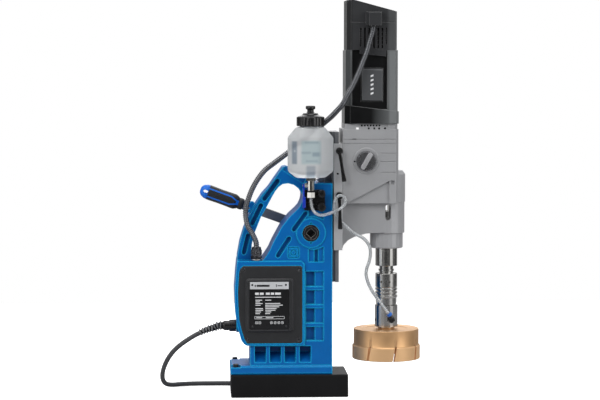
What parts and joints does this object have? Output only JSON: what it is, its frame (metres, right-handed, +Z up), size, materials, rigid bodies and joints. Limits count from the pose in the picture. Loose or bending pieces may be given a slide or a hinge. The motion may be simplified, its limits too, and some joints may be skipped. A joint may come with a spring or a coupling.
{
  "type": "magnetic drill press",
  "caption": "Portable drilling machine on an electromagnet base: rack-fed motor and gear head, annular cutter, coolant bottle and feed lever.",
  "frame": {"origin": "centre of the magnet's lower face, on the surface the machine stands on", "axes": "+Z up, +X from the base towards the spindle, -Y the side with the data plate, +Y the side with the feed lever and controls"},
  "size_m": [0.4952, 0.3185, 0.7446],
  "materials": {
    "blue_paint": "powder-coated aluminium casting, blue, satin",
    "magnet_black": "black painted steel, satin",
    "copper_winding": "enamelled copper winding",
    "potting_resin": "cast resin",
    "bolt_steel": "dark plated steel",
    "black_plastic": "moulded black plastic, fine grain",
    "plate_print": "anodised printed plate",
    "board_green": "circuit board with components",
    "switch_red": "gloss red plastic",
    "switch_green": "gloss green plastic",
    "cable_black": "black rubber sheath",
    "dark_steel": "blackened machined steel",
    "bright_steel": "turned and ground steel",
    "nickel": "nickel-plated brass",
    "valve_blue": "gloss blue plastic",
    "grey_paint": "grey painted aluminium casting, satin",
    "bracket_grey": "light grey painted aluminium",
    "motor_grey": "glass-filled motor casing, dark grey",
    "bottle_milk": "translucent polyethylene",
    "tube_clear": "clear flexible tube",
    "cutter_gold": "titanium-nitride style gold coating on steel"
  },
  "bodies": {
    "root": {"magnet_block": "magnet_black", "magnet_coil": "copper_winding", "magnet_potting": "potting_resin", "frame_casting": "blue_paint", "base_bolt_near": "bolt_steel", "base_bolt_far": "bolt_steel", "side_cover": "black_plastic", "data_plate": "plate_print", "cover_screw_1": "bolt_steel", "cover_screw_2": "bolt_steel", "cover_screw_3": "bolt_steel", "cover_screw_4": "bolt_steel", "control_board": "board_green", "control_panel": "black_plastic", "conduit_gland": "bolt_steel", "cord_gland": "black_plastic", "cord_boot": "cable_black", "mains_cord": "cable_black", "cord_coil": "cable_black", "mains_plug": "cable_black", "pinion_bush_near": "dark_steel", "pinion_bush_far": "dark_steel", "gib_strip": "bright_steel", "bottle_bracket": "black_plastic", "coolant_bottle": "bottle_milk", "valve_body": "nickel", "conduit_lower": "cable_black", "coolant_tube_a": "tube_clear"},
    "slide": {"slide_plate": "dark_steel"},
    "drill_unit": {"slide_bracket": "bracket_grey", "gear_housing": "grey_paint", "quill_nose": "grey_paint", "motor_housing": "motor_grey", "motor_cap": "motor_grey", "motor_stator": "bolt_steel", "coolant_ring": "dark_steel", "coolant_fitting": "black_plastic", "conduit_upper": "cable_black", "coolant_tube_b": "tube_clear"},
    "spindle": {"spindle": "bright_steel", "arbor": "bright_steel", "annular_cutter": "cutter_gold"},
    "pilot": {"pilot_pin": "bright_steel"},
    "armature": {"motor_armature": "bright_steel"},
    "intermediate": {"intermediate_gear": "dark_steel"},
    "pinion": {"pinion_shaft": "dark_steel"},
    "lever": {"feed_lever_bar": "dark_steel", "feed_lever_grip": "black_plastic"},
    "clamp_upper": {"clamp_lever_upper": "black_plastic"},
    "clamp_lower": {"clamp_lever_lower": "black_plastic"},
    "dial": {"speed_dial": "bracket_grey"},
    "valve_handle": {"valve_lever": "valve_blue"},
    "cap": {"bottle_cap": "black_plastic"},
    "spout": {"cap_spout": "black_plastic"},
    "knob_upper": {"bracket_knob_upper": "black_plastic"},
    "knob_lower": {"bracket_knob_lower": "black_plastic"},
    "rocker": {"magnet_switch": "switch_red"},
    "start": {"start_button": "switch_green"},
    "stop": {"stop_button": "switch_red"},
    "speed": {"speed_knob": "black_plastic"}
  },
  "joints": [
    {"name": "feed_slide", "type": "slide", "parent": "root", "child": "slide", "axis": [0, 0, 1], "range_m": [-0.115, 0.05], "deforming": ["conduit_lower", "coolant_tube_a"]},
    {"name": "pinion_spin", "type": "hinge", "parent": "root", "child": "pinion", "pos_m": [0.0398, 0, 0.309], "axis": [0, 1, 0], "range_deg": [-192, 440]},
    {"name": "lever_ratchet", "type": "hinge", "parent": "pinion", "child": "lever", "pos_m": [0.0398, 0.08, 0.309], "axis": [0, 1, 0], "range_deg": [-180, 180]},
    {"name": "height_adjust", "type": "slide", "parent": "slide", "child": "drill_unit", "axis": [0, 0, 1], "range_m": [-0.015, 0.055], "deforming": ["conduit_upper", "coolant_tube_b"]},
    {"name": "spindle_spin", "type": "hinge", "parent": "drill_unit", "child": "spindle", "pos_m": [0.186, 0, 0.4], "axis": [0, 0, 1], "continuous": true},
    {"name": "intermediate_spin", "type": "hinge", "parent": "drill_unit", "child": "intermediate", "pos_m": [0.1628, 0.0235, 0.4], "axis": [0, 0, 1], "continuous": true},
    {"name": "armature_spin", "type": "hinge", "parent": "drill_unit", "child": "armature", "pos_m": [0.155, 0, 0.5], "axis": [0, 0, 1], "continuous": true},
    {"name": "pilot_slide", "type": "slide", "parent": "spindle", "child": "pilot", "axis": [0, 0, 1], "range_m": [0, 0.02], "stiffness_N_per_m": 400, "springref_m": -0.01},
    {"name": "speed_dial_turn", "type": "hinge", "parent": "drill_unit", "child": "dial", "pos_m": [0.1433, -0.056, 0.444], "axis": [0, 1, 0], "range_deg": [0, 120]},
    {"name": "clamp_upper_turn", "type": "hinge", "parent": "drill_unit", "child": "clamp_upper", "pos_m": [0.0924, -0.058, 0.463], "axis": [0, -1, 0], "range_deg": [-8, 26]},
    {"name": "clamp_lower_turn", "type": "hinge", "parent": "drill_unit", "child": "clamp_lower", "pos_m": [0.0924, -0.058, 0.3795], "axis": [0, -1, 0], "range_deg": [0, 60]},
    {"name": "valve_turn", "type": "hinge", "parent": "root", "child": "valve_handle", "pos_m": [0.0256, -0.062, 0.3985], "axis": [-1, 0, 0], "range_deg": [0, 90]},
    {"name": "cap_turn", "type": "hinge", "parent": "root", "child": "cap", "pos_m": [0.0383, -0.062, 0.52], "axis": [0, 0, 1], "range_deg": [0, 360]},
    {"name": "spout_pull", "type": "slide", "parent": "cap", "child": "spout", "axis": [0, 0, 1], "range_m": [0, 0.004]},
    {"name": "knob_upper_turn", "type": "hinge", "parent": "root", "child": "knob_upper", "pos_m": [0.059, -0.06, 0.383], "axis": [0, 1, 0], "continuous": true},
    {"name": "knob_lower_turn", "type": "hinge", "parent": "root", "child": "knob_lower", "pos_m": [0.059, -0.06, 0.358], "axis": [0, 1, 0], "continuous": true},
    {"name": "rocker_tilt", "type": "hinge", "parent": "root", "child": "rocker", "pos_m": [-0.063, 0.05, 0.206], "axis": [1, 0, 0], "range_deg": [-5, 5]},
    {"name": "start_press", "type": "slide", "parent": "root", "child": "start", "axis": [0, -1, 0], "range_m": [0, 0.003], "stiffness_N_per_m": 600, "springref_m": -0.002},
    {"name": "stop_press", "type": "slide", "parent": "root", "child": "stop", "axis": [0, -1, 0], "range_m": [0, 0.003], "stiffness_N_per_m": 600, "springref_m": -0.002},
    {"name": "speed_turn", "type": "hinge", "parent": "root", "child": "speed", "pos_m": [-0.03, 0.06, 0.15], "axis": [0, 1, 0], "range_deg": [0, 270]}
  ],
  "couplings": [
    {"joint": "pinion_spin", "follows": "feed_slide", "rad_per_m": -66.667},
    {"joint": "intermediate_spin", "follows": "spindle_spin", "ratio": -2.6667},
    {"joint": "armature_spin", "follows": "spindle_spin", "ratio": 6.1333}
  ]
}
